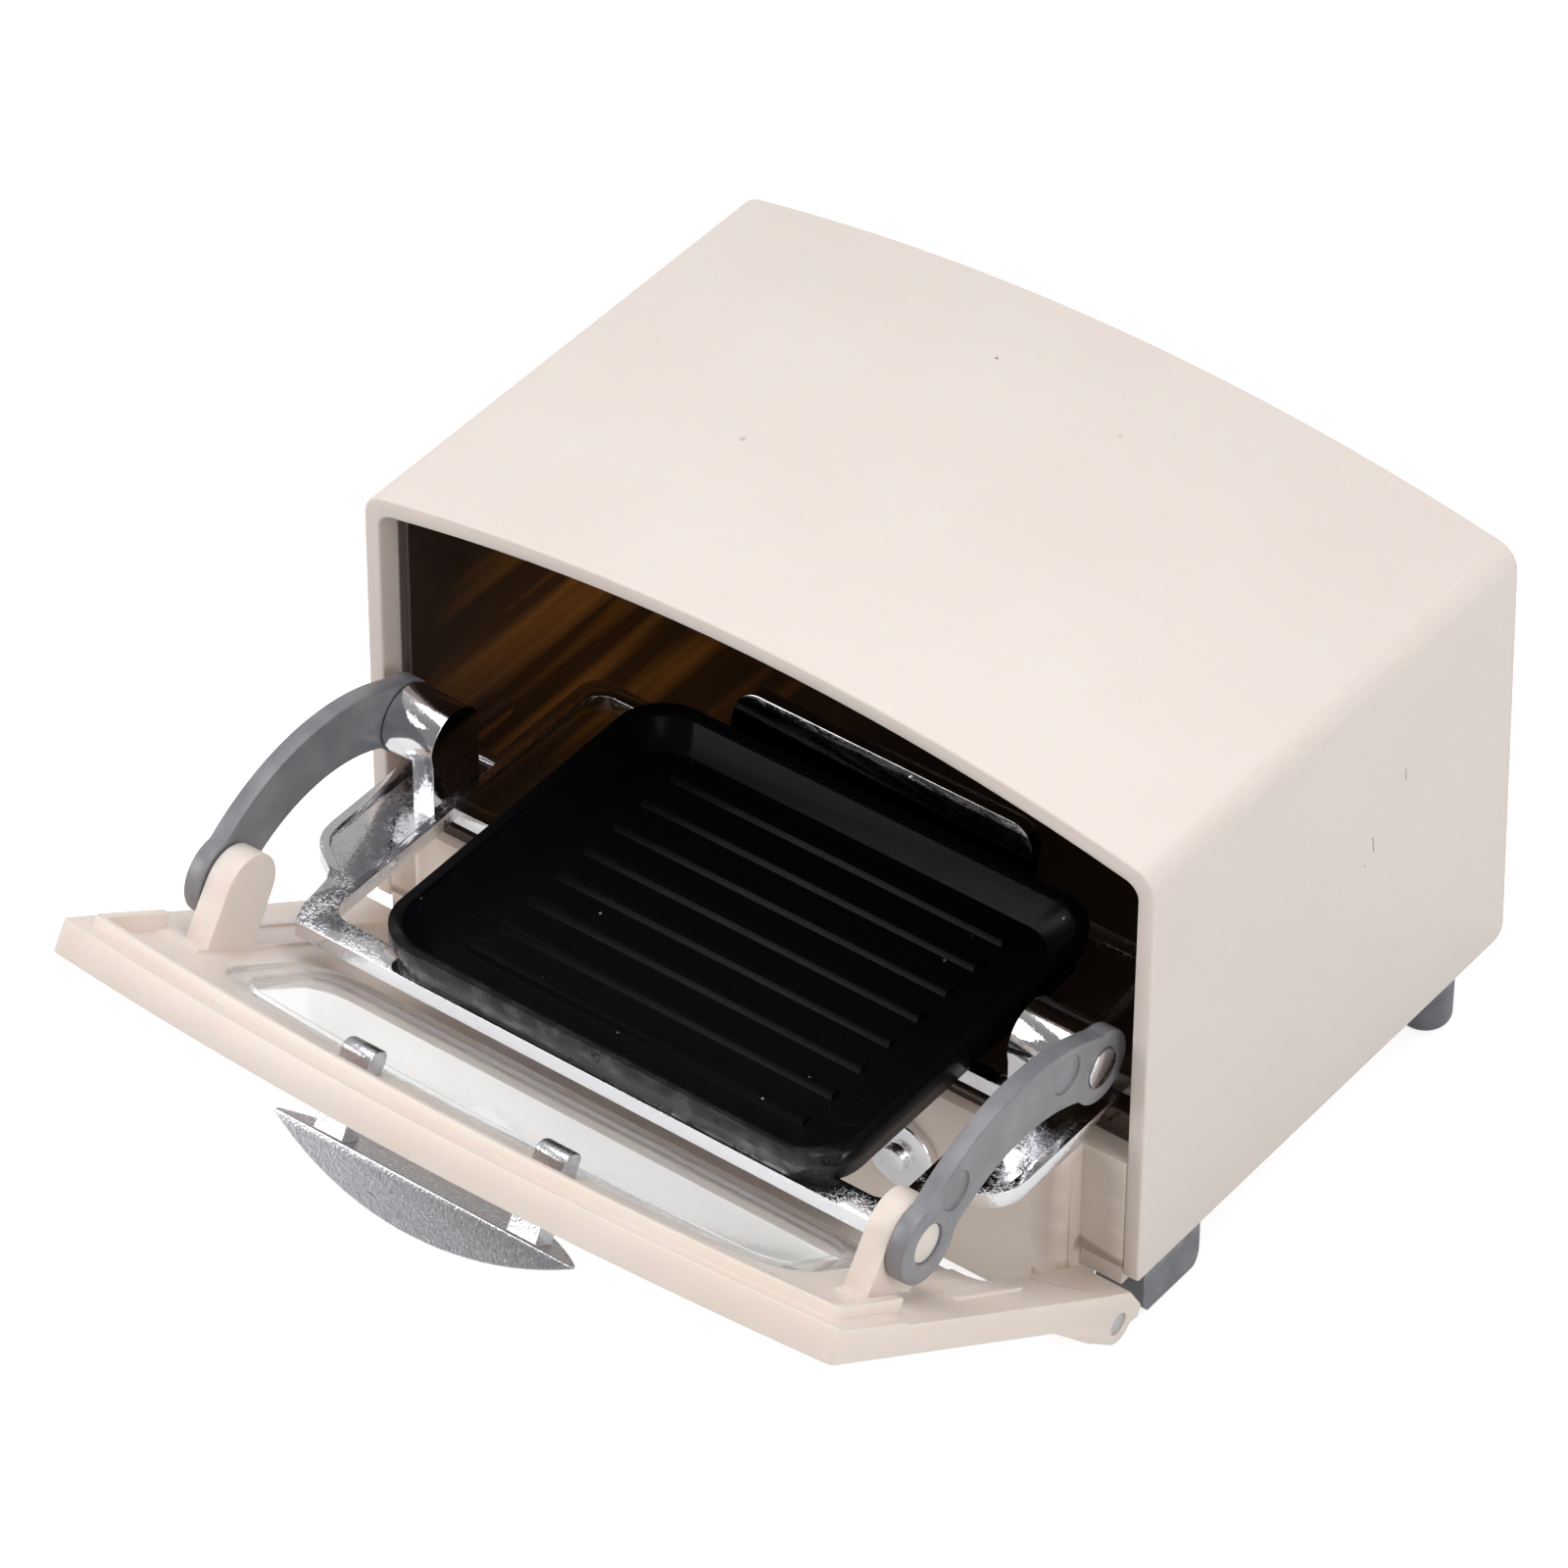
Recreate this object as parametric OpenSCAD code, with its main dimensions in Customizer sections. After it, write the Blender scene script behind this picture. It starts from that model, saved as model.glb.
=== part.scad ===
// Toy oven: a doll's house toaster oven whose door draws its rack out on two curved arms.
// Lengths are in millimetres, +Z is up and the door faces -Y. The door stands open, as it
// does on a table, and the origin lies on that table, midway between the ends of the whole.

/* [Case] */
// Width of the case
case_w = 50; // [48:0.5:54]
// Depth of the case along its roof
case_d = 32.3; // [32:0.1:36]
// Height of the side walls
side_h = 27.2; // [27:0.1:29]
// Rise of the arched roof above the side walls
roof_rise = 2.7; // [2:0.1:4]
// Thickness of the walls
case_wall = 1; // [0.8:0.05:1.1]
// Radius of the edge between roof and side
roof_edge_r = 1.5; // [1:0.1:2.5]
// How much further back the rear wall reaches at its foot
back_rake = 1.4; // [0.8:0.1:2.5]
// Radius of the lower rear edge
back_edge_r = 0.9; // [0.5:0.1:0.9]

/* [Baking chamber] */
// Thickness of the liner
liner_wall = 0.7; // [0.5:0.05:0.8]
// How far the liner stays behind the front of the case
liner_setback = 1.45; // [1.4:0.05:2]
// Height of the chamber floor above the foot of the case
floor_z = 8.4; // [8:0.1:8.6]
// How far the runners stand out from the side walls
runner_w = 1.35; // [1:0.05:1.5]
// Thickness of the keeper strips above the rack
keeper_t = 1.3; // [0.8:0.1:1.4]

/* [Base and front panel] */
// Thickness of the base plate
base_t = 1.2; // [1:0.1:1.6]
// Distance that the front panel stands before the case
panel_proud = 1.64; // [1.4:0.05:1.8]
// Gap between the front panel and the notch of the door
panel_gap = 0.65; // [0.4:0.05:1.5]
// Depth of the front panel's lower edge below the case
panel_drop = 3.4; // [3:0.1:3.6]
// Thickness of the front panel's walls
panel_wall = 1.2; // [1:0.1:1.5]
// Radius of the front panel's upright edges
panel_edge_r = 0.85; // [0.5:0.05:1.1]
// Height of a foot
foot_h = 4; // [3.8:0.1:6]
// Width of a foot
foot_w = 3; // [2.6:0.1:3.6]
// Length of a front foot
foot_l = 5; // [4.5:0.1:7]
// Diameter of a rear foot
foot_d = 3; // [2.6:0.1:3.6]

/* [Dials] */
// Distance between the two dials
dial_pitch = 22.8; // [16:0.2:26]
// Height of the dials above the foot of the case
dial_z = 2.9; // [2.6:0.1:3.4]
// Diameter of a dial's skirt
dial_d = 4.36; // [3.6:0.02:5]
// Diameter of a dial's knob
dial_knob_d = 1.6; // [1.2:0.1:2]
// Height of the knob above the skirt
dial_knob_h = 0.6; // [0.3:0.1:1.2]

/* [Door] */
// Angle of the open door, from upright
open_angle = 57.2; // [50:0.1:60]
// Thickness of the door's flat field
door_t = 1.55; // [1.3:0.05:1.6]
// Height of the border above the field
border_h = 0.3; // [0.15:0.05:0.35]
// Height of the crest above the field
crest_h = 0.95; // [0.6:0.05:1.05]
// Width of the crest
crest_w = 0.55; // [0.4:0.05:0.6]
// How much narrower each side of the door is at its top corner than at the hinge
door_taper = 0.5; // [0:0.05:0.8]
// Width of each hinge ear
ear_w = 3.3; // [3:0.1:3.4]
// Diameter of the hinge pins
pin_d = 1.2; // [1:0.05:1.4]
// Distance of the hinge axis below the case
pin_drop = 1.3; // [1.2:0.05:1.5]

/* [Window] */
// Distance from the pane's flange to the thick sides of the door
window_side = 1.8; // [1.6:0.1:3]
// Height of the pane's flange at its ends
window_h = 10.4; // [9:0.1:10.6]
// Width of the flange
window_flange = 1.3; // [0.8:0.1:1.6]
// Thickness of the flange
window_flange_t = 0.6; // [0.4:0.05:0.8]

/* [Handle] */
// Length of the handle
handle_l = 19.6; // [18:0.2:22]
// How far the grip bulges beyond its straight edge
handle_bulge = 2.6; // [2:0.05:3.5]
// Height of the grip
handle_h = 4.5; // [3:0.1:5]
// Finger room between door and grip
handle_gap = 2.05; // [1.4:0.05:2.5]
// Distance between the handle's pegs
peg_pitch = 12.3; // [10:0.1:13]
// Width of a peg
peg_w = 1.9; // [1.6:0.1:2.4]
// Height of a peg
peg_t = 1.5; // [1.2:0.1:1.6]

/* [Arms] */
// Distance between the two eyes of an arm
arm_span = 14.6; // [14:0.1:15.5]
// Rise of the arm's middle above the line between its eyes
arm_rise = 2.45; // [1.8:0.05:2.6]
// Thickness of an arm
arm_t = 1; // [0.9:0.05:1]
// Width of an arm at its middle
arm_w = 3.6; // [3.2:0.1:3.9]
// Radius of the eye at the door
door_eye_r = 2.26; // [2:0.01:2.4]
// Radius of the eye at the rack
rack_eye_r = 2.1; // [1.9:0.05:2.1]
// Radius of the stud in each eye
stud_r = 1.1; // [1:0.05:1.2]

/* [Rack] */
// Thickness of the rack's frame
rack_t = 1; // [0.8:0.05:1]
// Depth of the frame's opening
rack_open_d = 22.4; // [22:0.1:22.5]
// Width of the wing at each side of the opening
wing_w = 4.45; // [4.2:0.05:4.8]
// Depth of the front bar
front_bar_d = 1.6; // [1.4:0.1:2]
// Thickness of the rods
rod_t = 0.95; // [0.8:0.05:1]
// Width of the back stop
stop_w = 19.4; // [16:0.2:24]
// Height of the pivots above the foot of the case
pivot_z = 14.4; // [14.4:0.05:14.6]

/* [Grill plate] */
// Distance from the grill plate's rim to the side of the rack's opening
plate_side = 3.1; // [2:0.1:4]
// Depth of the grill plate over its rim
plate_d = 24.1; // [23.5:0.1:24.2]
// Height of the grill plate
plate_h = 2.3; // [2:0.1:2.8]
// Thickness of the grill plate
plate_t = 0.7; // [0.5:0.05:0.8]
// Radius of the grill plate's corners
plate_r = 3; // [2:0.1:3.5]
// Number of ribs across the grill plate's floor
rib_count = 8; // [4:1:8]

/* [Hidden] */
$fn = 64;

// Overrun of every cut, gap between fixed pieces, running gap, and air beside moving pieces
cut = 1;
fit = 0.05;
run = 0.04;
air = 0.1;
// Facets of the wide arcs
wide_fn = 720;

// Colours as seen
cream = [0.93, 0.88, 0.83];
door_cream = [0.94, 0.85, 0.77];
brown = [0.16, 0.1, 0.07];
chrome = [0.78, 0.78, 0.8];
grey = [0.43, 0.43, 0.45];
foot_grey = [0.36, 0.36, 0.4];
black = [0.08, 0.08, 0.09];
clear = [0.9, 0.93, 0.95, 0.5];

// Case
front_y = -case_d / 2;
back_lean = atan(back_rake / side_h);
back_y = case_d / 2 + back_rake;
inner_w = case_w - 2 * case_wall;

// Hinge: the door's flat border lies just before the case when the door is shut
border_w = door_t + border_h;
pin_y = front_y - border_w - air;
pin_z = -pin_drop;
door_u = side_h + pin_drop;
ear_t = 2 * pin_d - fit;
ear_x = case_w / 2 + door_taper / 2;
notch_x = ear_x - ear_w;
panel_w = 2 * (notch_x - panel_gap);
knuckle_w = 0.8;
knuckle_wall = 0.35;
knuckle_r = pin_d / 2 + knuckle_wall;
pin_x = panel_w / 2 - knuckle_w;

// Door: u runs up the door from the hinge axis, w runs inwards from its outer face
crest_gap = 0.35;
platform_l = 2.8;
arch_inset = case_wall + 2 * air;
crest_x = inner_w / 2 - crest_w - crest_gap;
platform_x = crest_x - platform_l;
window_w = 2 * (platform_x - window_side);
platform_u = 21.3;
notch_u = 10.4;
window_u = 13.3;
post_u = 19.24;
post_w = 4.91;
post_t = 1.5;

// Linkage: the pivot on the door, then the rack's pivot at one span behind it
eye_y = pin_y - post_u * sin(open_angle) + post_w * cos(open_angle);
eye_z = pin_z + post_u * cos(open_angle) + post_w * sin(open_angle);
pivot_y = eye_y + sqrt(pow(arm_span, 2) - pow(pivot_z - eye_z, 2));
arm_angle = asin((eye_z - pivot_z) / arm_span);
arm_gap = 0.35;
arm_x = inner_w / 2 - liner_wall - fit - arm_gap - arm_t;
boss_r = rack_eye_r - air;

// Whole: front end of the open door, and the place of the origin between the ends
door_tip_y = pin_y - (door_u + roof_rise) * sin(open_angle) - air * cos(open_angle);
stand_y = -(door_tip_y + back_y - back_edge_r * tan(back_lean)) / 2;

module place() translate([0, stand_y, foot_h]) children();
module pair() for (side = [0, 1]) mirror([side, 0, 0]) children();
module along_x(x0, x1) translate([x0, 0, 0]) rotate([90, 0, 90]) linear_extrude(x1 - x0) children();
module along_y(y0, y1) translate([0, y1, 0]) rotate([90, 0, 0]) linear_extrude(y1 - y0) children();
module box(x0, x1, y0, y1, z0, z1) translate([x0, y0, z0]) cube([x1 - x0, y1 - y0, z1 - z0]);
module rod_x(r, x0, x1) translate([x0, 0, 0]) rotate([0, 90, 0]) cylinder(r = r, h = x1 - x0);

// Rectangle with rounded corners, its corner at the origin
module rounded(w, h, r) {
    translate([r, 0]) square([w - 2 * r, h]);
    translate([0, r]) square([w, h - 2 * r]);
    for (x = [r, w - r], y = [r, h - r]) translate([x, y]) circle(r);
}

function arc_r(chord, rise) = (chord * chord / 4 + rise * rise) / (2 * rise);

// Panel with straight sides, one wide arc along its top and a small arc at each top corner
module arch_panel(w, h, rise, edge_r) {
    r = arc_r(w, rise);
    arc_z = h + rise - r;
    edge_x = w / 2 - edge_r;
    edge_z = arc_z + sqrt(pow(r - edge_r, 2) - edge_x * edge_x);
    reach = (edge_r + cut) / (r - edge_r);
    out = [edge_x + reach * edge_x, edge_z + reach * (edge_z - arc_z)];
    difference() {
        intersection() {
            translate([-w / 2, 0]) square([w, h + rise]);
            translate([0, arc_z]) circle(r, $fn = wide_fn);
        }
        for (side = [0, 1]) mirror([side, 0]) difference() {
            polygon([[edge_x, edge_z], [w / 2 + cut, edge_z], [w / 2 + cut, out[1]], out]);
            translate([edge_x, edge_z]) circle(edge_r);
        }
    }
}

// Side view of the case, set in by a wall: raked back, rounded lower rear edge
module side_view(y0, inset, z0) {
    y1 = back_y - inset;
    top = side_h + roof_rise + cut;
    foot_y = y1 - z0 * tan(back_lean);
    mid = [foot_y - back_edge_r * (1 + sin(back_lean)) / cos(back_lean), z0 + back_edge_r];
    far = back_edge_r + cut;
    difference() {
        polygon([[y0, z0], [foot_y, z0], [y1 - top * tan(back_lean), top], [y0, top]]);
        difference() {
            polygon([mid, [mid[0], z0 - cut], [foot_y + cut, z0 - cut],
                [mid[0] + far * cos(back_lean), mid[1] + far * sin(back_lean)]]);
            translate(mid) circle(back_edge_r);
        }
    }
}

// Hollow form of the case: the arch runs back and the side view runs across
module case_form(inset, y0, z0, edge_r) {
    w = case_w - 2 * inset;
    intersection() {
        along_y(y0, back_y) translate([0, z0])
            arch_panel(w, side_h - inset - z0, roof_rise, edge_r);
        along_x(-w / 2, w / 2) side_view(y0, inset, z0);
    }
}

module shell() color(cream) place() difference() {
    case_form(0, front_y, 0, roof_edge_r);
    case_form(case_wall, front_y - cut, -cut, roof_edge_r - case_wall / 2);
}

// Liner: floor with a tongue over the front panel, runners for the rack and keepers above them
liner_inset = case_wall + fit;
liner_y = front_y + liner_setback;
liner_x = case_w / 2 - liner_inset - liner_wall;
runner_x = liner_x - runner_w;
runner_h = 1.1;
keeper_gap = 0.15;
runner_top = floor_z + runner_h;
rack_z = runner_top + air;
keeper_z = rack_z + rack_t + keeper_gap;
tongue_y = front_y - panel_proud + panel_wall / 2;
screw_x = 14;
screw_ys = [-8, 10];
screw_post_r = 1.7;
screw_r = 0.6;
screw_head_r = 1.2;
screw_head_t = 0.7;
screw_l = 5;

module chamber_liner() color(brown) place() {
    difference() {
        case_form(liner_inset, liner_y, floor_z - liner_wall, roof_edge_r - liner_inset / 2);
        difference() {
            case_form(liner_inset + liner_wall, liner_y - cut, floor_z, roof_edge_r / 2);
            pair() {
                box(runner_x, case_w, liner_y - 2 * cut, back_y, 0, runner_top);
                box(runner_x, case_w, liner_y - 2 * cut, back_y, keeper_z, keeper_z + keeper_t);
            }
        }
    }
    box(-panel_w / 2, panel_w / 2, tongue_y, liner_y, floor_z - liner_wall, floor_z);
    for (y = screw_ys) pair() translate([screw_x, y, base_t]) difference() {
        cylinder(r = screw_post_r, h = floor_z - liner_wall - base_t);
        translate([0, 0, -cut]) cylinder(r = screw_r, h = screw_l - base_t + cut + cut / 2);
    }
}

// Base plate: closes the case from below, with a sill under each wing of the front panel
foot_x = case_w / 2 - case_wall / 2 - foot_w / 2;
foot_setback = 1.3;
foot_front_y = front_y + foot_setback;
foot_back_y = 13.3;
foot_peg_r = 0.8;
foot_edge = 0.6;
foot_toe_r = 1.5;
slot_z = 0.45;
sill_drop = 0.75;

module foot_pegs(r) for (y = [foot_front_y + foot_l / 2, foot_back_y])
    pair() translate([foot_x - case_wall, y, -cut]) cylinder(r = r, h = base_t + 2 * cut);

module base_plate() color(cream) place() difference() {
    union() {
        box(-inner_w / 2 + fit, inner_w / 2 - fit, liner_y,
            back_y - case_wall - base_t * tan(back_lean) - fit, 0, base_t);
        pair() {
            box(panel_w / 2 + fit, inner_w / 2 - fit, front_y + fit, liner_y + fit, 0, slot_z - fit);
            box(panel_w / 2 + fit, inner_w / 2 - fit, front_y + fit, foot_front_y - fit, -sill_drop, fit);
        }
    }
    foot_pegs(foot_peg_r + fit / 2);
    for (y = screw_ys) pair() translate([screw_x, y, 0]) {
        translate([0, 0, -cut]) cylinder(r = screw_r + fit, h = base_t + 2 * cut);
        translate([0, 0, -cut]) cylinder(r = screw_head_r + fit, h = screw_head_t + cut);
    }
}

module base_screws() color(chrome) place() for (y = screw_ys) pair()
    translate([screw_x, y, 0]) {
        cylinder(r = screw_head_r, h = screw_head_t);
        cylinder(r = screw_r - fit / 2, h = screw_l);
    }

// Front panel: a hollow box before the case, wings beside it and a knuckle at each end
panel_y = front_y - panel_proud;
panel_top = floor_z - liner_wall;

module panel_plan(inset) {
    r = panel_edge_r - inset / 2;
    w = panel_w - 2 * inset;
    translate([-w / 2, panel_y + inset]) {
        translate([r, 0]) square([w - 2 * r, r]);
        translate([0, r]) square([w, liner_y - panel_y - inset - r + (inset > 0 ? cut : 0)]);
        for (x = [r, w - r]) translate([x, r]) circle(r);
    }
}

module front_panel() color(cream) place() difference() {
    union() {
        translate([0, 0, -panel_drop]) linear_extrude(panel_top + panel_drop) panel_plan(0);
        pair() {
            box(panel_w / 2 - cut, inner_w / 2 - fit, front_y, liner_y, slot_z, panel_top);
            translate([0, pin_y, pin_z]) rod_x(knuckle_r, pin_x, panel_w / 2);
        }
    }
    difference() {
        translate([0, 0, -panel_drop - cut])
            linear_extrude(panel_top + panel_drop - panel_wall + cut) panel_plan(panel_wall);
        pair() translate([0, pin_y, pin_z]) rod_x(knuckle_r, pin_x, panel_w / 2);
    }
    pair() {
        translate([0, pin_y, pin_z]) rod_x(pin_d / 2, pin_x - cut, panel_w);
        translate([dial_pitch / 2, 0, dial_z]) rotate([90, 0, 0]) cylinder(r = dial_stem_r + run, h = case_w);
    }
}

// Hinge pins: pressed into the knuckles, running in the ears
module hinge_pin() place() translate([0, pin_y, pin_z]) rod_x(pin_d / 2, pin_x, ear_x - 2 * fit);
module hinge_pin_left() color(chrome) mirror([1, 0, 0]) hinge_pin();
module hinge_pin_right() color(chrome) hinge_pin();

// Dials: skirt with a knob, on a stem through the panel, held by a clip behind it
dial_skirt_t = 0.6;
dial_stem_r = 0.7;

module dial() color(chrome) translate([dial_pitch / 2, panel_y - air / 2, dial_z])
    rotate([90, 0, 0]) {
        cylinder(r = dial_d / 2, h = dial_skirt_t);
        translate([0, 0, -panel_wall - dial_skirt_t])
            cylinder(r = dial_stem_r, h = panel_wall + 2 * dial_skirt_t);
        translate([0, 0, -panel_wall - 2 * dial_skirt_t]) cylinder(r = 2 * dial_stem_r, h = dial_skirt_t);
        cylinder(r = dial_knob_d / 2, h = dial_skirt_t + dial_knob_h);
    }
module dial_left() place() mirror([1, 0, 0]) dial();
module dial_right() place() dial();

// Feet: long rounded blocks in front, round pegs behind, each with a peg up into the base
module foot_front() place() translate([foot_x, 0, 0]) {
    translate([0, foot_front_y, 0]) intersection() {
        along_x(-foot_w / 2, foot_w / 2) translate([0, -foot_h]) rounded(foot_l, foot_h * 2, foot_toe_r);
        along_y(0, foot_l) translate([-foot_w / 2, -foot_h]) rounded(foot_w, foot_h * 2, foot_edge);
        box(-foot_w, foot_w, 0, foot_l, -foot_h, 0);
    }
    translate([-case_wall, foot_front_y + foot_l / 2, -cut / 2]) cylinder(r = foot_peg_r, h = base_t + cut / 2);
}
module foot_back() place() translate([foot_x, foot_back_y, 0]) {
    translate([0, 0, -foot_h]) rotate_extrude() intersection() {
        translate([-foot_d / 2, 0]) rounded(foot_d, foot_h * 2, foot_edge);
        square([foot_d, foot_h]);
    }
    translate([-case_wall, 0, -cut / 2]) cylinder(r = foot_peg_r, h = base_t + cut / 2);
}
module foot_front_left() color(foot_grey) mirror([1, 0, 0]) foot_front();
module foot_front_right() color(foot_grey) foot_front();
module foot_back_left() color(foot_grey) mirror([1, 0, 0]) foot_back();
module foot_back_right() color(foot_grey) foot_back();

// Door, drawn shut in its own frame: x across, y inwards from the outer face, z up from the axis
module hung() place() translate([0, pin_y, pin_z]) rotate([open_angle, 0, 0]) children();

door_arc_r = arc_r(case_w - door_taper, roof_rise);
door_arc_z = door_u + roof_rise - door_arc_r;
ear_flare = 0.87;
ear_flare_u = 2.65;
heel = [[1.82, 0], [1.01, -1.67], [0.32, -1.85]];
notch_r = 1.2;
platform_w = border_w - 1.5 * air;
rib_inset = 2.45;
rib_x = ear_x - rib_inset;
rib_w = 1;
rib_u = 8;
rib_l = 7;
post_r = 2.05;
post_foot = 4.3;
window_r = 3.3;
ear_straight = 4;

// Field of the door inside a side line and an arc set in from its edge
module door_arch(half_w, inset, u0, edge_r) {
    r = door_arc_r - inset;
    side_u = door_arc_z + sqrt(r * r - half_w * half_w);
    translate([0, u0])
        arch_panel(2 * half_w, side_u - u0, door_arc_z + r - side_u, edge_r);
}

module door_outline() {
    top_x = (case_w - door_taper) / 2;
    door_arch(top_x, 0, notch_u, case_wall / 2);
    pair() door_side(0);
}

// Half of the door below its top corner, its side leaning in
module door_side(u0) polygon([[0, u0], [ear_x, u0], [ear_x, 0],
    [(case_w - door_taper) / 2, door_u - case_wall], [0, door_u - case_wall]]);

// Pane outline, set in from the flange's edge
module window_plan(inset) {
    w = window_w - 2 * inset;
    u0 = window_u + inset;
    drop = door_arc_r - norm([window_w / 2, window_u + window_h - door_arc_z]);
    intersection() {
        door_arch(w / 2, drop + inset, u0, window_r - inset);
        translate([-w / 2, u0]) rounded(w, 2 * window_h, window_r - inset);
    }
}

module ear_plan() {
    polygon([[0, notch_u + notch_r], [0, ear_flare_u + ear_straight], [-ear_flare, ear_flare_u],
        [-ear_t / 2, 0], [0, -ear_t / 2], heel[2], heel[1], heel[0], [platform_w, ear_flare_u + ear_straight / 2],
        [platform_w, notch_u + notch_r]]);
    circle(ear_t / 2);
}

module notch() {
    corner_x = notch_x - notch_r;
    translate([-notch_x, -door_u]) square([2 * notch_x, door_u + notch_u - notch_r]);
    translate([-corner_x, 0]) square([2 * corner_x, notch_u]);
    for (x = [-1, 1]) translate([x * corner_x, notch_u - notch_r]) circle(notch_r);
}

module peg_box(gap) {
    x = peg_pitch / 2;
    translate([handle_x, 0, 0]) pair()
        box(x - peg_w / 2 - gap, x + peg_w / 2 + gap, -cut, door_t + cut, peg_u - gap, peg_u + peg_t + gap);
}

module door() color(door_cream) hung() {
    difference() {
        union() {
            along_y(0, door_t) difference() {
                door_outline();
                notch();
            }
            along_y(0, border_w) difference() {
                door_outline();
                door_arch(crest_x + crest_w / 2, arch_inset + crest_w / 2, platform_u, air);
                translate([-case_w, -cut]) square([2 * case_w, platform_u + 2 * cut]);
            }
            pair() {
                along_y(0, platform_w) difference() {
                    intersection() {
                        door_outline();
                        translate([platform_x, notch_u / 2])
                            square([case_w, platform_u + cut - notch_u / 2]);
                    }
                    notch();
                }
                intersection() {
                    along_x(notch_x, case_w) ear_plan();
                    along_y(-ear_t, ear_t) door_side(-ear_t);
                }
                along_y(0, border_w)
                    translate([rib_x - rib_w / 2, rib_u]) rounded(rib_w, rib_l, rib_w / 3);
            }
            along_y(0, door_t + crest_h) difference() {
                door_arch(crest_x + crest_w, arch_inset, platform_u, case_wall / 2);
                door_arch(crest_x, arch_inset + crest_w, -platform_u, air);
            }
            pair() door_post();
        }
        along_y(-cut, door_t + cut) window_plan(window_flange);
        along_y(door_t - window_flange_t, door_t + cut) window_plan(-fit);
        peg_box(fit);
        pair() rod_x(pin_d / 2 + run, notch_x - cut, ear_x + cut);
    }
}

// Post that carries the arm's stud
module door_post() along_x(arm_x - air - post_t, arm_x - air) {
    foot_w0 = door_t - case_wall / 2;
    polygon([[foot_w0, post_u - post_foot / 2], [post_w, post_u - post_r],
        [post_w, post_u + post_r], [foot_w0, post_u + post_foot / 2]]);
    translate([post_w, post_u]) circle(post_r);
}

module window() color(clear) hung() difference() {
    union() {
        along_y(door_t - window_flange_t, door_t) window_plan(0);
        along_y(0, door_t - window_flange_t) window_plan(window_flange + fit);
    }
    along_y(door_t - window_flange_t / 2, door_t + cut) window_plan(window_flange);
}

// Handle: grip curved in plan and below, a little left of the middle, on two pegs through the door
handle_x = -0.4;
grip_drop = 0.95;
peg_drop = 0.15;
grip_u = door_u - grip_drop;
peg_u = grip_u - peg_t - peg_drop;
peg_reach = 1.35;
peg_end_r = 0.6;
grip_end = 0.35;

module handle() color(chrome) hung() translate([handle_x, 0, 0]) {
    grip_r = arc_r(handle_l, handle_bulge);
    grip_root = handle_gap + handle_bulge / 4;
    intersection() {
        translate([0, 0, grip_u - handle_h]) linear_extrude(handle_h) difference() {
            translate([0, grip_r - handle_gap - handle_bulge]) circle(grip_r, $fn = wide_fn / 4);
            translate([-handle_l, -handle_gap]) square([2 * handle_l, 2 * grip_r]);
        }
        along_y(-handle_l, 0) intersection() {
            translate([0, grip_u - handle_h + arc_r(handle_l, handle_h)])
                circle(arc_r(handle_l, handle_h), $fn = wide_fn / 4);
            translate([-handle_l / 2 + grip_end, grip_u - handle_h]) square([handle_l - 2 * grip_end, handle_h]);
        }
    }
    pair() along_x((peg_pitch - peg_w) / 2, (peg_pitch + peg_w) / 2) {
        translate([-grip_root, peg_u]) square([grip_root + door_t + peg_reach / 2, peg_t]);
        translate([0, peg_u]) rounded(door_t + peg_reach, peg_t, peg_end_r);
    }
}

// Arm: a curved band between two eyes, with a shallow round pad by each eye
arm_arc_r = arc_r(arm_span, arm_rise);
arm_mid = [-arm_span / 2, arm_rise - arm_arc_r];
arm_half_turn = asin(arm_span / 2 / arm_arc_r);
pad_r = 1.1;
pad_deep = 0.15;
pad_rise = 0.3;
pad_turn_shares = [-0.63, 0.56];

module arm_plan() {
    difference() {
        intersection() {
            translate(arm_mid) circle(arm_arc_r + arm_w / 2, $fn = wide_fn / 4);
            polygon([arm_mid, -arm_mid, [-arm_span / 2, 2 * arm_span], [-arm_span, 0] * 2 - arm_mid]);
        }
        translate(arm_mid) circle(arm_arc_r - arm_w / 2, $fn = wide_fn / 4);
    }
    circle(rack_eye_r);
    translate([-arm_span, 0]) circle(door_eye_r);
}

module arm_frame() place() translate([0, pivot_y, pivot_z]) rotate([-arm_angle, 0, 0]) children();

module arm() arm_frame() difference() {
    along_x(arm_x, arm_x + arm_t) arm_plan();
    rod_x(stud_r + run, arm_x - cut, case_w);
    translate([0, -arm_span, 0]) rod_x(stud_r + run, arm_x - cut, case_w);
    for (share = pad_turn_shares) translate([0, arm_mid[0], arm_mid[1]])
        rotate([-share * arm_half_turn, 0, 0]) translate([0, 0, arm_arc_r + pad_rise])
            rod_x(pad_r, arm_x + arm_t - pad_deep, case_w);
}
module arm_stud() arm_frame() translate([0, -arm_span, 0])
    rod_x(stud_r, arm_x, arm_x + arm_t - pad_deep);
module arm_left() color(grey) mirror([1, 0, 0]) arm();
module arm_right() color(grey) arm();
module arm_stud_left() color(door_cream) mirror([1, 0, 0]) arm_stud();
module arm_stud_right() color(door_cream) arm_stud();

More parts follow.
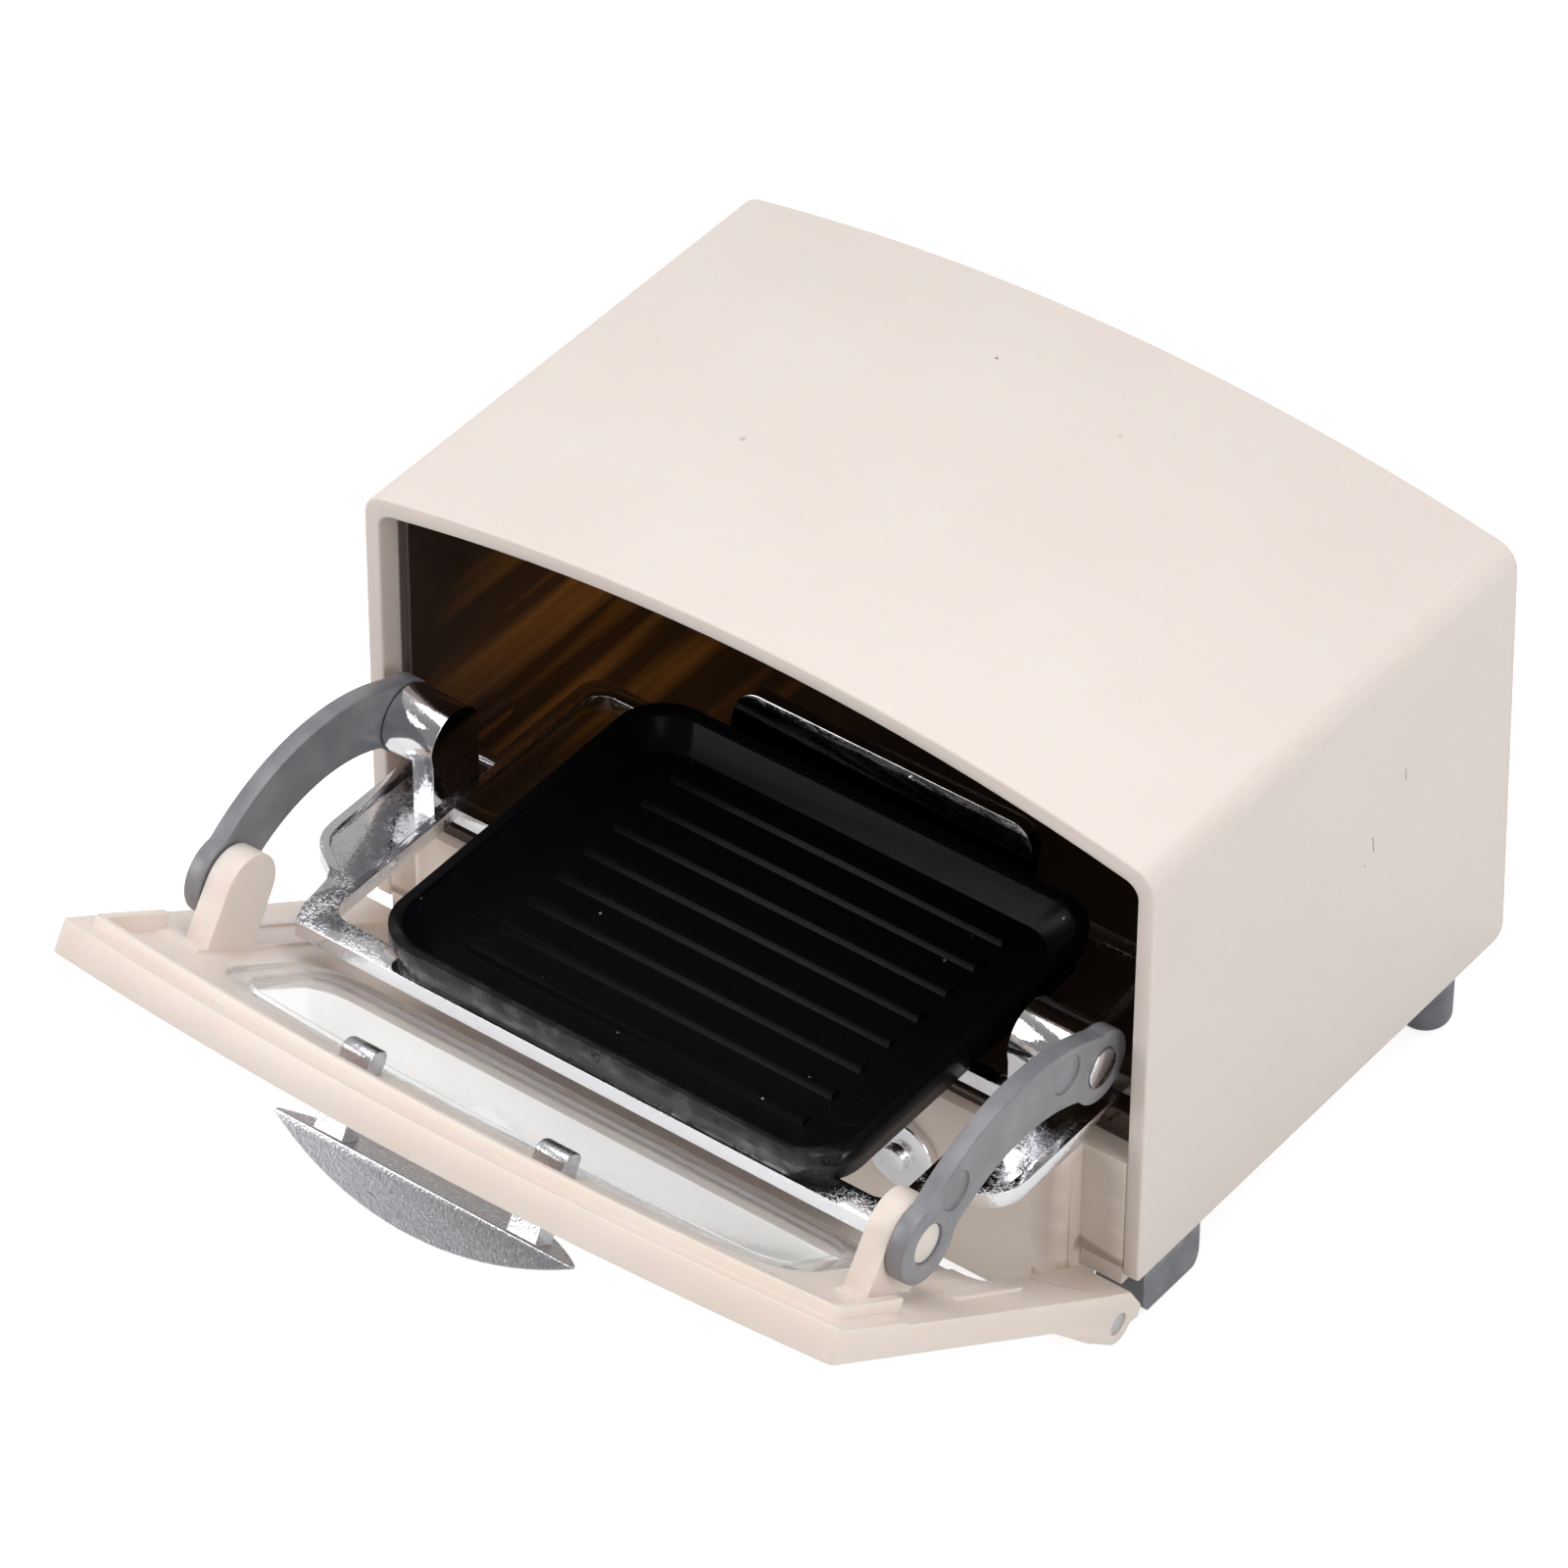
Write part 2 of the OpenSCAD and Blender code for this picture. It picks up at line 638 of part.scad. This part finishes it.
// Rack: y runs back from its front edge
pivot_l = 12.75;
rack_gap = 0.8;
rack_front = pivot_y - pivot_l;
rack_x = liner_x - rack_gap;
rack_open_w = 2 * (rack_x - wing_w);
rack_l = 20.8;
rim_w = 0.55;
rim_h = 0.3;
wing_l = 8.45;
wing_back = 16.6;
rail_share = 0.3;
wing_shares = [[1, 1], [1, 0.86], [0.98, 0.76], [0.92, 0.69], [0.83, 0.63], [0.73, 0.59],
    [0.62, 0.55], [0.48, 0.5], [0.4, 0.42], [0.37, 0.32], [0.33, 0.14], [0.22, 0]];
rim_count = 8;
cross_rod_y = 11.9;
stop_h = 4;
stop_lean = 1;
stop_x = 0.3;
stop_t = 0.8;
stop_r = 1.5;
open_r = 1.2;
column_w = 1.4;

wing_line = [for (s = wing_shares) [rack_open_w / 2 + s[0] * wing_w, s[1] * wing_l]];

// Point of the wing's outline moved inwards by the width of its rim
function rim_point(i) =
    let (way = wing_line[i + 1] - wing_line[max(i - 1, 0)])
    wing_line[i] + rim_w / norm(way) * [way[1], -way[0]];

// Sunken field of a wing, inside its rim
module wing_field() {
    points = [for (i = [0 : rim_count - 1]) rim_point(i)];
    inner = rack_open_w / 2 + rim_w;
    polygon(concat(points, [[inner, points[rim_count - 1][1]], [inner, wing_back - rim_w],
        [rack_x - rim_w, wing_back - rim_w]]));
}

module rack_plan() {
    half = rack_open_w / 2;
    open_back = front_bar_d + rack_open_d;
    difference() {
        union() {
            pair() {
                polygon(concat([[0, 0], [0, wing_back], [rack_x, wing_back]], wing_line));
                translate([half + wing_w * (1 - rail_share), wing_l]) square([wing_w * rail_share, rack_l - wing_l]);
            }
            translate([-half - rod_t, wing_l])
                rounded(2 * (half + rod_t), open_back + rod_t - wing_l, open_r);
        }
        translate([-half, front_bar_d]) rounded(2 * half, rack_open_d, open_r);
    }
    translate([-half - rod_t / 2, cross_rod_y]) square([2 * half + rod_t, rod_t]);
}

module rack() color(chrome) place() {
    translate([0, rack_front, rack_z]) {
        difference() {
            linear_extrude(rack_t) rack_plan();
            pair() translate([0, 0, rack_t - rim_h]) linear_extrude(rack_t) wing_field();
        }
        stop_y = front_bar_d + rack_open_d;
        intersection() {
            along_x(stop_x - stop_w / 2, stop_x + stop_w / 2) polygon([[stop_y, 0], [stop_y, rack_t],
                [stop_y + stop_lean, rack_t + stop_h], [stop_y + stop_lean + stop_t, rack_t + stop_h],
                [stop_y + rod_t, rack_t], [stop_y + rod_t, 0]]);
            along_y(0, 2 * rack_l) translate([stop_x - stop_w / 2, -stop_h])
                rounded(stop_w, rack_t + 2 * stop_h, stop_r);
        }
    }
    pair() translate([0, pivot_y, 0]) {
        inner = rack_open_w / 2 + rod_t / 2;
        box(inner, inner + column_w, air - boss_r, boss_r - air, rack_z + rack_t / 2, pivot_z);
        translate([0, 0, pivot_z]) {
            rod_x(boss_r, inner, arm_x - air);
            rod_x(stud_r, inner, arm_x + arm_t + air);
        }
    }
}

// Grill plate: drafted tray with a stepped rim and ribs across its floor
plate_w = rack_open_w - 2 * plate_side;
plate_rim_h = 0.9;
plate_rim_w = 0.25;
plate_lip_w = 0.6;
plate_draft = 0.2;
plate_slope = 1.2;
rib_pitch = 2.42;
plate_rib_w = 0.9;
plate_rib_h = 0.3;
plate_rib_share = 0.72;
plate_x = 0.85;
plate_back = 0.65;

plate_y = rack_front + front_bar_d + rack_open_d + plate_rim_w + plate_draft - plate_back - plate_d / 2;

module slab(inset, z0, z1) translate([0, 0, z0]) linear_extrude(z1 - z0)
    translate([-plate_w / 2 + inset, -plate_d / 2 + inset])
        rounded(plate_w - 2 * inset, plate_d - 2 * inset, plate_r - inset / 2, $fn = 32);

module grill_plate() color(black) place()
    translate([plate_x, plate_y, rack_z + rack_t]) {
        skin = plate_t / 8;
        difference() {
            union() {
                hull() {
                    slab(plate_rim_w + plate_draft, 0, skin);
                    slab(plate_rim_w, plate_h - plate_rim_h, plate_h - plate_rim_h + skin);
                }
                slab(0, plate_h - plate_rim_h, plate_h);
            }
            hull() {
                slab(plate_lip_w + plate_slope, plate_t, plate_t + skin);
                slab(plate_lip_w, plate_h - plate_rim_h / 3, plate_h - plate_rim_h / 3 + skin);
            }
            slab(plate_lip_w, plate_h - plate_rim_h / 3, plate_h + cut);
        }
        for (i = [0 : rib_count - 1])
            translate([0, (i - (rib_count - 1) / 2) * rib_pitch, plate_t])
                along_x(-plate_w * plate_rib_share / 2, plate_w * plate_rib_share / 2)
                    polygon([[-plate_rib_w / 2, -skin], [-plate_rib_w / 4, plate_rib_h],
                        [plate_rib_w / 4, plate_rib_h], [plate_rib_w / 2, -skin]]);
    }

shell();
chamber_liner();
base_plate();
front_panel();
dial_left();
dial_right();
foot_front_left();
foot_front_right();
foot_back_left();
foot_back_right();
base_screws();
hinge_pin_left();
hinge_pin_right();
door();
window();
handle();
arm_left();
arm_right();
arm_stud_left();
arm_stud_right();
rack();
grill_plate();
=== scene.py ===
import math

import bmesh
import bpy
from mathutils import Matrix, Vector


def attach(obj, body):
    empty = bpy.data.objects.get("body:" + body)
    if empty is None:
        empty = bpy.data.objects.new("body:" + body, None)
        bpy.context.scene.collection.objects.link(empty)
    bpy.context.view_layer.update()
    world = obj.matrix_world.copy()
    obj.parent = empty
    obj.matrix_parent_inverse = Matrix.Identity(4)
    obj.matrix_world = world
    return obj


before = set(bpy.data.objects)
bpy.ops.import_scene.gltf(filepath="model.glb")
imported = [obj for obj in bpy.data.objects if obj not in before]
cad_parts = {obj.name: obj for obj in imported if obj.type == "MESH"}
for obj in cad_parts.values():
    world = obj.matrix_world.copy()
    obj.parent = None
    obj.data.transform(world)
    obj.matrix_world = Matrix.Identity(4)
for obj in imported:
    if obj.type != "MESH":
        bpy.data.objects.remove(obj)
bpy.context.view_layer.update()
mm = 0.001

# The camera. A long lens looks down on the oven from its front right, well above the
# table, as in the photograph. Azimuth turns about +Z, elevation rises from the table.
lens = bpy.data.cameras.new("photograph")
lens.sensor_width = 36
lens.lens = 201.4812
lens.clip_start, lens.clip_end = 0.05, 5
azimuth, elevation, roll = (math.radians(a) for a in (36.8637, 40.7339, 0.3575))
outward = math.cos(elevation)
backward = Vector((math.sin(azimuth) * outward, -math.cos(azimuth) * outward, math.sin(elevation)))
level = Vector((math.cos(azimuth), math.sin(azimuth), 0))
upright = backward.cross(level)
rightward = level * math.cos(roll) + upright * math.sin(roll)
upward = upright * math.cos(roll) - level * math.sin(roll)
camera = bpy.data.objects.new("photograph", lens)
stand = Matrix.Translation(Vector((203.904, -271.649, 315.15)) * mm)
camera.matrix_world = stand @ Matrix((rightward, upward, backward)).transposed().to_4x4()
bpy.context.scene.collection.objects.link(camera)
bpy.context.scene.camera = camera


# The case: one cream moulding of slightly translucent styrene, satin, with soft edges, a
# few dark specks and hair scratches on its roof and side. It hangs over liner and base.
class Sum:
    """A socket of a node tree. An expression on it adds the Math nodes that work it out."""

    def __init__(self, tree, socket):
        self.tree, self.socket = tree, socket

    def math(self, operation, *values, clamp=False):
        node = self.tree.nodes.new("ShaderNodeMath")
        node.operation, node.use_clamp = operation, clamp
        for slot, value in zip(node.inputs, values):
            if isinstance(value, Sum):
                self.tree.links.new(value.socket, slot)
            else:
                slot.default_value = value
        return Sum(self.tree, node.outputs[0])

    def __add__(self, other): return self.math("ADD", self, other)
    def __radd__(self, other): return self.math("ADD", other, self)
    def __sub__(self, other): return self.math("SUBTRACT", self, other)
    def __rsub__(self, other): return self.math("SUBTRACT", other, self)
    def __mul__(self, other): return self.math("MULTIPLY", self, other)
    def __abs__(self): return self.math("ABSOLUTE", self)
    def above(self, edge, soft): return self.math("DIVIDE", self - edge, soft, clamp=True)
    def most(self, other): return self.math("MAXIMUM", self, other)


class Nodes:
    """Adds nodes to one tree. Every node but the shader and the output comes from add."""

    def __init__(self, tree):
        self.tree = tree

    def add(self, kind, settings=None, out=0, **sockets):
        node = self.tree.nodes.new("ShaderNode" + kind)
        for name, value in (settings or {}).items():
            setattr(node, name, value)
        for name, value in sockets.items():
            numbered = name[1:].isdigit()
            slot = node.inputs[int(name[1:]) if numbered else name.replace("_", " ")]
            if isinstance(value, Sum):
                self.tree.links.new(value.socket, slot)
            elif isinstance(value, tuple) and slot.type == "RGBA":
                slot.default_value = (*value, 1)
            else:
                slot.default_value = value
        return Sum(self.tree, node.outputs[out])

    def mix(self, mask, low, high):
        return self.add("Mix", {"data_type": "RGBA"}, out=2, i0=mask, i6=low, i7=high)


class Finish(Nodes):
    """A material with one Principled shader, in the oven's own coordinates."""

    def __init__(self, name, **sockets):
        self.material = bpy.data.materials.new(name)
        self.material.use_nodes = True
        super().__init__(self.material.node_tree)
        self.tree.nodes.clear()
        self.shader = self.tree.nodes.new("ShaderNodeBsdfPrincipled")
        output = self.tree.nodes.new("ShaderNodeOutputMaterial")
        self.tree.links.new(self.shader.outputs[0], output.inputs["Surface"])
        for socket, value in sockets.items():
            self.set(socket.replace("_", " ").title().replace("Ior", "IOR"), value)
        self.place = self.add("TexCoord", out="Object")

    def set(self, name, value):
        slot = self.shader.inputs[name]
        if isinstance(value, Sum):
            self.tree.links.new(value.socket, slot)
        elif slot.type == "RGBA":
            slot.default_value = (*value, 1)
        else:
            slot.default_value = value

    def noise(self, size, detail=2.0, rough=0.5, at=None):
        return self.add("TexNoise", Vector=at or self.place, Scale=1 / (size * mm),
                        Detail=detail, Roughness=rough)

    def bump(self, height, distance, strength=1.0):
        return self.add("Bump", Height=height, Distance=distance * mm, Strength=strength)

    def vector(self, operation, out=0, **sockets):
        return self.add("VectorMath", {"operation": operation}, out, **sockets)

    def along(self, axis):
        """Coordinate on the axis X, Y or Z."""
        return self.add("SeparateXYZ", out=axis, i0=self.place)

    def apart(self, point):
        """Distance from a point, given in millimetres."""
        return self.vector("DISTANCE", out=1, i0=self.place, i1=tuple(c * mm for c in point))

    def spots(self, points, radius, soft=0.4):
        """Mask that is 1 within radius of any of the points."""
        mask = None
        for point in points:
            spot = 1 - self.apart(point).above(radius * mm, radius * soft * mm)
            mask = spot if mask is None else mask.most(spot)
        return mask

    def ring(self, point, radius, width):
        """Mask of a thin circle round a point."""
        off = abs(self.apart(point) - radius * mm)
        return 1 - off.above(width * mm * 0.4, width * mm * 0.6)

    def strokes(self, lines, radius, soft=0.6):
        """Mask that is 1 along straight strokes, each given by its two ends."""
        mask = None
        for start, end in lines:
            start, end = Vector(start) * mm, Vector(end) * mm
            way = end - start
            past = self.vector("SUBTRACT", i0=self.place, i1=tuple(start))
            share = self.vector("DOT_PRODUCT", out=1, i0=past, i1=tuple(way / way.length_squared))
            share = share.math("ADD", share, 0, clamp=True)
            near = self.vector("SCALE", i0=tuple(way), Scale=share)
            off = self.vector("DISTANCE", out=1, i0=past, i1=near)
            stroke = 1 - off.above(radius * mm, radius * soft * mm)
            mask = stroke if mask is None else mask.most(stroke)
        return mask

    def specks(self, size, share, reach=0.1):
        """Mask of sparse round specks: size is their cell, share the part of the cells with one."""
        cell = {"Vector": self.place, "Scale": 1 / (size * mm)}
        draw = self.add("SeparateColor", i0=self.add("TexVoronoi", out="Color", **cell))
        spot = 1 - self.add("TexVoronoi", out="Distance", **cell).above(reach, 0.06)
        return spot * draw.above(1 - share, 0.001)


def dress(node, finish, edge=0.12, segments=3):
    """Gives a CAD node its material and rounds its sharp edges, as a mould leaves them."""
    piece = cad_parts[node]
    piece.data.materials.clear()
    piece.data.materials.append(finish.material)
    piece.data.shade_smooth()
    weld = piece.modifiers.new("weld", "WELD")
    weld.merge_threshold = 0.002 * mm
    flat = piece.modifiers.new("flat", "DECIMATE")
    flat.decimate_type = "DISSOLVE"
    flat.angle_limit = math.radians(0.3)
    bevel = piece.modifiers.new("edge", "BEVEL")
    bevel.width, bevel.segments = edge * mm, segments
    bevel.limit_method, bevel.angle_limit = "ANGLE", math.radians(28)
    bevel.harden_normals = True
    bevel.use_clamp_overlap = True


def plastic(name, pale, deep, rough, glow, marks_and_shade=None):
    """Moulded styrene in two tones. glow is the share of light that passes into its depth, and
    marks_and_shade gives a mask of dirt and scratches, and on the panel a mask of painted shade."""
    finish = Finish(name, specular_ior_level=0.4, subsurface_weight=glow,
                    subsurface_radius=(1.0, 0.5, 0.25), subsurface_scale=1.2 * mm)
    colour = finish.mix(finish.noise(9, 3).above(0.3, 0.4), pale, deep)
    colour = finish.mix(finish.specks(2.6, 0.04, 0.05) * 0.5, colour, (0.3, 0.2, 0.14))
    if marks_and_shade:
        # The dark mix stands for dirt and scratches, and on the panel for painted shade.
        colour = finish.mix(marks_and_shade(finish), colour, (0.12, 0.08, 0.05))
    finish.set("Base Color", colour)
    finish.set("Roughness", rough + (finish.noise(3, 3) - 0.5) * 0.12)
    finish.set("Normal", finish.bump(finish.noise(0.22, 2), 0.012, 0.3))
    return finish


def case_marks(finish):
    dots = finish.spots([(-3.77, 23.54, 33.76), (19.07, 6.85, 32.2)], 0.09)
    crumbs = finish.spots([(22.25, 4.99, 31.65), (22.91, 4.56, 31.52), (23.34, 3.78, 31.44),
                           (9.31, 9.36, 33.39), (-14.42, 20.1, 32.91), (25, 16.57, 18.81)], 0.06)
    hairs = finish.strokes([((14.45, 9.1, 32.85), (14.8, 8.95, 32.8)),
                            ((24.92, 6.81, 23.75), (24.92, 7.92, 23.88)),
                            ((25, 17.16, 20.34), (25, 17.33, 19.35)),
                            ((25, 19.97, 23.05), (25, 20.02, 22.36))], 0.035)
    return dots.most(crumbs * 0.6).most(hairs * 0.7)


cream = plastic("cream_styrene", (0.815, 0.735, 0.685), (0.80, 0.715, 0.66), 0.4, 0.25, case_marks)
dress("shell", cream, 0.15)

# The baking chamber: a dark brown translucent moulding, pressed into the case. Light from
# behind glows through it as orange streaks along the draw of the mould, a painted glow in its
# colour and a faint emission.
amber = Finish("brown_styrene", specular_ior_level=0.55, coat_weight=0.3, coat_roughness=0.08)
drawn = amber.vector("MULTIPLY", i0=amber.place, i1=(1, 0.06, 1))
lit_corner = (-20, 13, 14)
glow = 1 - amber.apart(lit_corner).above(3 * mm, 12 * mm)
painted_glow_streaks = (amber.noise(2.2, 2, at=drawn).above(0.5, 0.16) * 0.85 + 0.15) * glow
# Painted glow: orange streaks round the lit corner, in base colour and a faint emission.
amber.set("Base Color", amber.mix(painted_glow_streaks, (0.038, 0.024, 0.018), (0.25, 0.10, 0.03)))
amber.set("Emission Color", amber.mix(painted_glow_streaks, (0.05, 0.028, 0.018), (1.0, 0.38, 0.07)))
amber.set("Emission Strength", 0.05)
amber.set("Roughness", 0.16 + amber.noise(2.5, 2) * 0.12)
amber.set("Normal", amber.bump(amber.noise(0.8, 1, at=drawn), 0.01, 0.25))
dress("chamber_liner", amber, 0.1)

# The base: a flat cream plate with four plain steel screws from below, and the hinge's two
# steel pins in the panel's knuckles.
dress("base_plate", cream, 0.1)
steel = Finish("plain_steel", metallic=1.0, base_color=(0.55, 0.55, 0.56))
steel.set("Roughness", 0.25 + steel.noise(0.3, 2) * 0.25)
dress("base_screws", steel, 0.1)
dress("hinge_pin_left", steel, 0.05)
dress("hinge_pin_right", steel, 0.05)

# The front panel below the door: a cream moulding with rounded upright edges, thin enough
# that light from the table shines through it, shown as a faint painted glow. It is pushed over the
# liner's tongue.
def wing_painted_shade(finish):
    """Painted shade inside the wings, brownish and deepest on the ledge at their foot."""
    sides = (-1, 1)
    wings = [(side * 21.7, -2.71, z) for side in sides for z in (5.8, 7.8, 9.8)]
    # Painted shade in soft spots up the inside of each wing.
    shade = finish.spots(wings, 1.4, 1.2)
    ledges = [((side * 21, -2.75, 4.9), (side * 23.8, -2.75, 4.4)) for side in sides]
    # Painted shadow in a line along the ledge at each wing's foot.
    foot = finish.strokes(ledges, 0.3, 2.0)
    return (shade * 0.45).most(foot * 0.8)


# The panel's colour carries painted shade inside its wings.
painted_glow_panel = plastic("panel_styrene", (0.86, 0.77, 0.70), (0.84, 0.74, 0.66), 0.4, 0.4, wing_painted_shade)
# Painted glow: a faint warm emission stands for light through the thin panel.
painted_glow_panel.set("Emission Color", (1.0, 0.82, 0.68))
painted_glow_panel.set("Emission Strength", 0.07)
dress("front_panel", painted_glow_panel, 0.15)

# The feet: satin grey mouldings on pegs, dusty where their upper edges meet the base.
stone = Finish("grey_styrene", specular_ior_level=0.5)
grey = stone.mix(stone.noise(1.5, 3).above(0.35, 0.3), (0.14, 0.143, 0.163), (0.2, 0.202, 0.224))
dusty = stone.along("Z").above(2.7 * mm, 1.3 * mm) * stone.noise(0.7, 3).above(0.38, 0.2)
stone.set("Base Color", stone.mix(dusty * 0.7, grey, (0.5, 0.49, 0.47)))
stone.set("Roughness", 0.32 + stone.noise(0.8, 2) * 0.2)
stone.set("Normal", stone.bump(stone.noise(0.15, 2), 0.01, 0.5))
for corner in ("front_left", "front_right", "back_left", "back_right"):
    dress("foot_" + corner, stone, 0.3)


# The door: cream like the case but thinner, so more light shows through it in peach tones.
# Its platforms are scuffed where they swing past the panel's wings.
def door_marks(finish):
    start, bend, end = (22.3, -8.4, 7.15), (23.3, -7.6, 6.6), (24.5, -6.0, 5.6)
    return finish.strokes([(start, bend), (bend, end)], 0.04) * 0.45


peach = plastic("door_styrene", (0.845, 0.75, 0.69), (0.83, 0.72, 0.65), 0.36, 0.4, door_marks)
dress("door", peach, 0.22)
dress("arm_stud_left", peach, 0.06)
dress("arm_stud_right", peach, 0.06)

# The window: a clear styrene pane with a flange, glossy, faintly hazed by handling.
pane = Finish("clear_styrene", base_color=(0.985, 0.99, 0.99), transmission_weight=0.74, ior=1.12)
pane.set("Roughness", 0.05 + pane.noise(4, 2).above(0.5, 0.4) * 0.1)
pane.set("Normal", pane.bump(pane.noise(5, 2), 0.05, 0.12))
dress("window", pane, 0.12)

# The rack and dials: styrene with a bright vacuum-plated skin. The rack is pitted up to the
# top of its wings, and the face of its stop has a painted dark reflection of the grill plate.
bright = Finish("bright_plating", metallic=1.0)
pits = bright.noise(0.16, 3, 0.65).above(0.5, 0.2)
wing_top, stop_foot, stop_rim, stop_front = 14.9 * mm, 15.4 * mm, 18.12 * mm, 7.6 * mm
height = bright.along("Z")
flat_part = 1 - height.above(wing_top, 0.4 * mm)
# Painted reflection: the stop's face is darkened to stand for the dark grill plate it mirrors.
painted_reflection = height.above(stop_foot, 0.4 * mm) * (1 - height.above(stop_rim, 0.15 * mm))
painted_reflection = painted_reflection * bright.along("Y").above(stop_front, 0.4 * mm)
bright.set("Base Color", bright.mix(painted_reflection, (0.80, 0.80, 0.82), (0.045, 0.045, 0.05)))
patch = bright.noise(2.2, 2).above(0.42, 0.2) * (flat_part * 0.85 + 0.15)
bright.set("Roughness", 0.04 + patch * 0.1 + pits * patch * 0.12)
bright.set("Normal", bright.bump(pits * (0.12 + patch), 0.02, 0.55))
dress("rack", bright, 0.16)


def burr(name, body, finish, place, size):
    """A torn gate or flash nib of the mould: a lump with a ragged break on its outer side."""
    lump = bmesh.new()
    bmesh.ops.create_icosphere(lump, subdivisions=3, radius=0.5)
    for point in lump.verts:
        wave = math.sin(17 * point.co.x + 5 * point.co.z)
        ragged = 0.12 * wave * math.sin(13 * point.co.z - 4 * point.co.y)
        point.co *= 1 + ragged
        point.co.y = max(point.co.y, -0.38 + 0.5 * ragged)
    mesh = bpy.data.meshes.new(name)
    lump.to_mesh(mesh)
    lump.free()
    sized = Matrix.Diagonal((*(c * mm for c in size), 1))
    mesh.transform(Matrix.Translation(Vector(place) * mm) @ sized)
    mesh.materials.append(finish.material)
    mesh.shade_smooth()
    nib = bpy.data.objects.new(name, mesh)
    bpy.context.scene.collection.objects.link(nib)
    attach(nib, body)


burr("stop_nib", "rack", bright, (2.05, 8.56, 18.19), (0.55, 0.22, 0.4))
dress("dial_left", bright, 0.12)
dress("dial_right", bright, 0.12)

# The handle: plated as well, with a fine hammered grain, and painted shade that darkens it towards
# its right.
# Its two pegs are pushed through the door.
silver = Finish("satin_plating", metallic=1.0)
# Painted shade: the base colour darkens from the left of the handle to its right.
painted_shade_right = silver.along("X").above(-9 * mm, 20 * mm)
silver.set("Base Color", silver.mix(painted_shade_right, (0.68, 0.68, 0.715), (0.55, 0.55, 0.575)))
silver.set("Roughness", 0.22 + silver.noise(0.3, 1) * 0.14)
silver.set("Normal", silver.bump(silver.noise(0.15, 1).above(0.3, 0.4), 0.022, 0.5))
dress("handle", silver, 0.18)

# The arms: satin grey mouldings in slightly uneven tones. Each turns on the rack's stud
# above and has its cream stud below.
ash = Finish("arm_styrene", specular_ior_level=0.75)
clouds = ash.noise(2, 3).above(0.35, 0.3)
ash.set("Base Color", ash.mix(clouds, (0.19, 0.188, 0.205), (0.25, 0.248, 0.268)))
ash.set("Roughness", 0.28 + ash.noise(0.6, 2) * 0.16)
ash.set("Normal", ash.bump(ash.noise(0.14, 2), 0.022, 0.5))
dress("arm_left", ash, 0.3, 4)
dress("arm_right", ash, 0.3, 4)

# The grill plate: black satin styrene, loose on the rack, glossier on its front rim, with
# white dust and the round marks of two ejector pins on its floor.
soot = Finish("black_styrene", specular_ior_level=0.07, coat_roughness=0.1)
front = 1 - soot.along("Y").above(-15.2 * mm, 0.5 * mm)
soot.set("Coat Weight", front * (0.35 + soot.noise(1.2, 3).above(0.45, 0.2) * 0.6))
dust = soot.specks(0.9, 0.05, 0.06)
pin_right, pin_left = (12.84, -11.03, 15.28), (-10.63, -11.48, 15.3)
pins = soot.ring(pin_right, 1.05, 0.09).most(soot.ring(pin_left, 1.05, 0.09))
soot.set("Base Color", soot.mix(dust, (0.0035, 0.0035, 0.0045), (0.35, 0.35, 0.36)))
soot.set("Roughness", 0.22 + soot.noise(1.5, 3) * 0.14)
soot.set("Normal", soot.bump(soot.noise(0.18, 2) * 0.25 + pins, 0.02, 0.4))
dress("grill_plate", soot, 0.22)
burr("plate_gate", "grill_plate", soot, (0.89, -16.66, 16.3), (0.55, 0.4, 0.75))


# The studio: a white sweep that reads as pure white to the camera and keeps a soft shadow,
# one large lamp above, one on each side, and surroundings that are dim towards the viewer.
def add_lamp(name, place, size, power):
    aim = Vector((0, 0, 0.012))
    light = bpy.data.lights.new(name, "AREA")
    light.shape, light.size, light.size_y, light.energy = "RECTANGLE", *size, power
    lamp = bpy.data.objects.new(name, light)
    lamp.location = place
    lamp.rotation_euler = (aim - Vector(place)).to_track_quat("-Z", "Y").to_euler()
    bpy.context.scene.collection.objects.link(lamp)


add_lamp("lamp_above", (-0.05, 0.05, 0.6), (0.5, 0.5), 1.8)
add_lamp("lamp_left", (-0.42, -0.4, 0.3), (0.3, 0.4), 1.6)
add_lamp("lamp_right", (0.5, -0.1, 0.25), (0.3, 0.4), 1.15)

floor_mesh = bpy.data.meshes.new("sweep")
floor_mesh.from_pydata([(-3, -3, 0), (3, -3, 0), (3, 3, 0), (-3, 3, 0)], [], [(0, 1, 2, 3)])
sweep = bpy.data.objects.new("sweep", floor_mesh)
bpy.context.scene.collection.objects.link(sweep)
paper = Finish("white_paper", base_color=(0.65, 0.65, 0.65), roughness=0.9,
               specular_ior_level=0.1, emission_color=(1.0, 1.0, 1.0))
through = paper.add("LightPath", out="Is Transmission Ray")
seen = paper.add("LightPath", out="Is Camera Ray").most(through)
mirrored = paper.add("LightPath", out="Is Glossy Ray")
paper.set("Emission Strength", (seen * 0.74).most(mirrored * 0.3))
sweep.data.materials.append(paper.material)

sky = bpy.data.worlds.new("surrounding")
sky.use_nodes = True
air = Nodes(sky.node_tree)
towards = air.add("SeparateXYZ", out="Y", i0=air.add("TexCoord", out="Generated"))
strength = 0.25 + towards.above(-0.55, 0.7) * 0.2
background = air.tree.nodes["Background"]
air.tree.links.new(strength.socket, background.inputs["Strength"])
background.inputs["Color"].default_value = (1, 1, 1, 1)
bpy.context.scene.world = sky
bpy.context.scene.view_settings.view_transform = "Standard"
